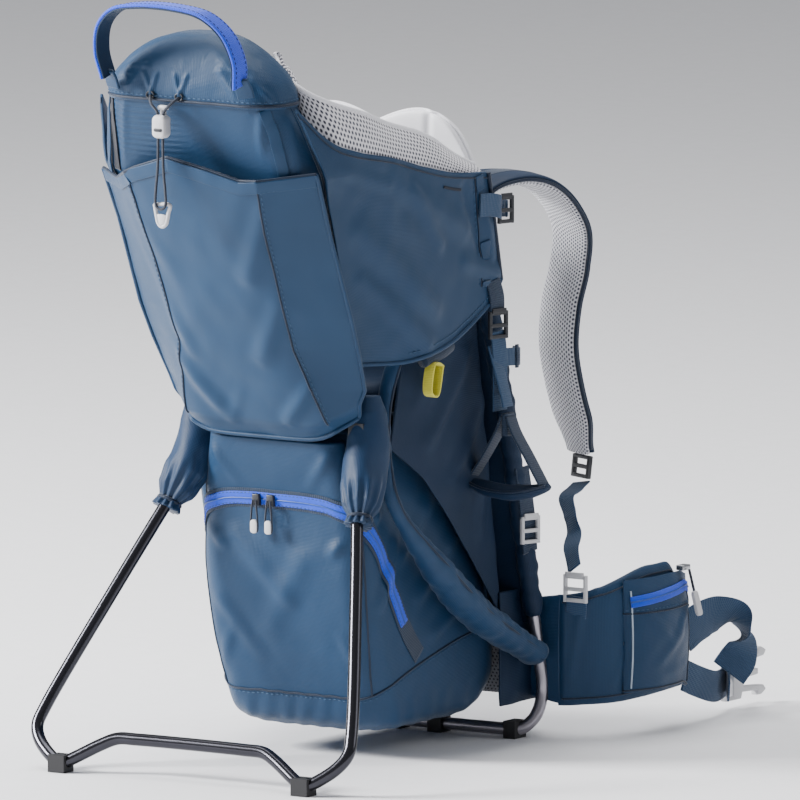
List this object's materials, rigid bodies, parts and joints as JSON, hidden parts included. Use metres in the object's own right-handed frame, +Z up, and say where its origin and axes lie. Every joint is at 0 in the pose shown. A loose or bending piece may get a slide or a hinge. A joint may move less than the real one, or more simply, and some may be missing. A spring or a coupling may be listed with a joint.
{
  "type": "baby carrier backpack",
  "caption": "Framed backpack that carries a small child behind the wearer, with a fold-out kickstand, a padded cockpit, a lower bag, shoulder straps and a pocketed hip belt.",
  "frame": {"origin": "On the ground under the middle of the carrier's outer box", "axes": "+X is the wearer's right, +Y is the way the wearer faces, +Z is up with the carrier standing on its kickstand"},
  "size_m": [0.4331, 0.7825, 0.7405],
  "materials": {
    "fabric": "matte",
    "dark_fabric": "matte",
    "mesh_fabric": "matte",
    "accent_webbing": "matte",
    "yellow_webbing": "matte",
    "webbing": "matte",
    "cord": "matte",
    "stand_tube": "gloss",
    "base_tube": "satin",
    "steel": "satin",
    "dark_plastic": "satin",
    "pale_plastic": "satin",
    "rubber": "matte"
  },
  "bodies": {
    "carrier": {"back_frame": "base_tube", "base_bar": "base_tube", "side_strut_right": "base_tube", "side_strut_left": "base_tube", "hinge_block_right": "dark_plastic", "hinge_block_left": "dark_plastic", "hinge_pin_right": "steel", "hinge_pin_left": "steel", "base_foot_right": "rubber", "base_foot_left": "rubber", "base_clip_right": "rubber", "base_clip_left": "rubber", "lower_bag": "fabric", "rear_compartment": "fabric", "stretch_pocket": "fabric", "top_lid": "fabric", "headrest_pad": "mesh_fabric", "side_wing_right": "fabric", "side_wing_left": "fabric", "mesh_collar_right": "mesh_fabric", "mesh_collar_left": "mesh_fabric", "chin_pad": "mesh_fabric", "back_pad": "mesh_fabric", "lumbar_pad": "mesh_fabric", "webbing_anchor_right": "pale_plastic", "webbing_anchor_left": "pale_plastic", "strap_webbing_right": "webbing", "strap_webbing_left": "webbing", "drawcord": "cord", "cord_pull": "pale_plastic"},
    "kickstand": {"kickstand_frame": "stand_tube", "kickstand_foot_right": "rubber", "kickstand_foot_left": "rubber", "kickstand_boot_right": "dark_fabric", "kickstand_boot_left": "dark_fabric"},
    "seat": {"child_seat": "dark_fabric"},
    "harness": {"shoulder_yoke": "dark_fabric", "shoulder_strap_right": "fabric", "shoulder_strap_left": "fabric", "strap_lock_right": "dark_plastic", "strap_lock_left": "dark_plastic"},
    "fin_right": {"hip_fin_right": "fabric", "hip_pocket": "fabric", "hip_webbing_right": "webbing", "buckle_male": "pale_plastic"},
    "fin_left": {"hip_fin_left": "fabric", "hip_webbing_left": "webbing", "buckle_female": "pale_plastic"},
    "hip_slider": {"hip_zip_slider": "steel"},
    "hip_pull": {"hip_zip_pull": "pale_plastic"},
    "stirrup_loop_right": {"stirrup_right": "webbing"},
    "stirrup_loop_left": {"stirrup_left": "webbing"},
    "handle": {"grab_handle": "accent_webbing"},
    "lock": {"cord_lock": "pale_plastic"},
    "lock_button": {"cord_lock_button": "pale_plastic"},
    "bag_slider_right": {"bag_zip_slider_right": "steel"},
    "bag_slider_left": {"bag_zip_slider_left": "steel"},
    "bag_pull_right": {"bag_zip_pull_right": "pale_plastic"},
    "bag_pull_left": {"bag_zip_pull_left": "pale_plastic"},
    "yellow_loop": {"yellow_pull": "yellow_webbing"}
  },
  "joints": [
    {"name": "kickstand_fold", "type": "hinge", "parent": "carrier", "child": "kickstand", "pos_m": [0, -0.175, 0.3], "axis": [1, 0, 0], "range_deg": [0, 40]},
    {"name": "seat_height", "type": "slide", "parent": "carrier", "child": "seat", "axis": [0, 0, 1], "range_m": [0, 0.05]},
    {"name": "harness_height", "type": "slide", "parent": "carrier", "child": "harness", "axis": [0, -0.2055, 0.9787], "range_m": [-0.06, 0.02], "deforming": ["strap_webbing_right", "strap_webbing_left"]},
    {"name": "hip_fin_right_swing", "type": "hinge", "parent": "carrier", "child": "fin_right", "pos_m": [0.133, 0.086, 0.09], "axis": [0, 0, 1], "range_deg": [-5, 25]},
    {"name": "hip_fin_left_swing", "type": "hinge", "parent": "carrier", "child": "fin_left", "pos_m": [-0.133, 0.086, 0.09], "axis": [0, 0, -1], "range_deg": [-5, 25]},
    {"name": "hip_zip_travel", "type": "slide", "parent": "fin_right", "child": "hip_slider", "axis": [0, -1, 0], "range_m": [0, 0.085]},
    {"name": "hip_pull_swing", "type": "hinge", "parent": "hip_slider", "child": "hip_pull", "pos_m": [0.2066, 0.212, 0.151], "axis": [0, -1, 0], "range_deg": [0, 60]},
    {"name": "stirrup_right_swing", "type": "hinge", "parent": "carrier", "child": "stirrup_loop_right", "pos_m": [0.145, -0.009, 0.322], "axis": [1, 0, 0], "range_deg": [-35, 18]},
    {"name": "stirrup_left_swing", "type": "hinge", "parent": "carrier", "child": "stirrup_loop_left", "pos_m": [-0.145, -0.009, 0.322], "axis": [1, 0, 0], "range_deg": [-35, 18]},
    {"name": "handle_droop", "type": "hinge", "parent": "carrier", "child": "handle", "pos_m": [0, -0.36, 0.664], "axis": [1, 0, 0], "range_deg": [0, 60]},
    {"name": "cord_lock_travel", "type": "slide", "parent": "carrier", "child": "lock", "axis": [0, 0, 1], "range_m": [-0.018, 0]},
    {"name": "cord_lock_press", "type": "slide", "parent": "lock", "child": "lock_button", "axis": [0, 0, 1], "range_m": [-0.004, 0], "stiffness_N_per_m": 300, "springref_m": 0.003},
    {"name": "bag_zip_right_travel", "type": "slide", "parent": "carrier", "child": "bag_slider_right", "axis": [1, 0, 0], "range_m": [0, 0.04]},
    {"name": "bag_zip_left_travel", "type": "slide", "parent": "carrier", "child": "bag_slider_left", "axis": [-1, 0, 0], "range_m": [0, 0.04]},
    {"name": "bag_pull_right_swing", "type": "hinge", "parent": "bag_slider_right", "child": "bag_pull_right", "pos_m": [-0.003, -0.1942, 0.248], "axis": [1, 0, 0], "range_deg": [-60, 5]},
    {"name": "bag_pull_left_swing", "type": "hinge", "parent": "bag_slider_left", "child": "bag_pull_left", "pos_m": [-0.019, -0.1942, 0.248], "axis": [1, 0, 0], "range_deg": [-60, 5]},
    {"name": "yellow_pull_swing", "type": "hinge", "parent": "carrier", "child": "yellow_loop", "pos_m": [0.122, -0.103, 0.376], "axis": [1, 0, 0], "range_deg": [-30, 30]}
  ]
}
